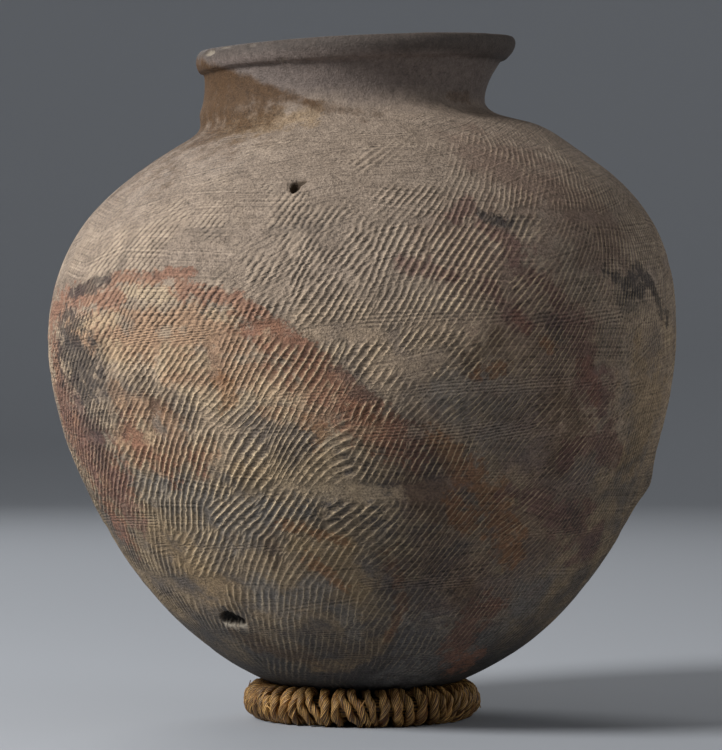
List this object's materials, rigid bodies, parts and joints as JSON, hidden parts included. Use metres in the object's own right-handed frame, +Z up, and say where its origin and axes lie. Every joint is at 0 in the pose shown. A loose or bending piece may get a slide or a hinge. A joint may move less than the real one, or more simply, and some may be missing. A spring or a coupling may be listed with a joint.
{
  "type": "stoneware jar",
  "caption": "Round-footed stoneware storage jar with a paddled body, short neck and banded rim, standing in a ring of wound straw rope that it lifts out of.",
  "frame": {"origin": "centre of the straw ring on the surface it stands on", "axes": "+Z up along the jar's height; the front, with the two burst blisters, faces -Y; +X to its right"},
  "size_m": [0.439, 0.4392, 0.4787],
  "materials": {
    "stoneware": "unglazed grey-brown stoneware, matt, with ash bloom, rust-red and soot-black fire marks",
    "straw_bundle": "dry rice straw",
    "straw_rope": "twisted dry rice straw, slightly glossy"
  },
  "bodies": {
    "ring": {"ring_core": "straw_bundle", "ring_rope": "straw_rope"},
    "jar": {"jar": "stoneware"}
  },
  "joints": [
    {"name": "jar_lift", "type": "slide", "parent": "ring", "child": "jar", "axis": [0, 0, 1], "range_m": [0, 0.1]}
  ]
}
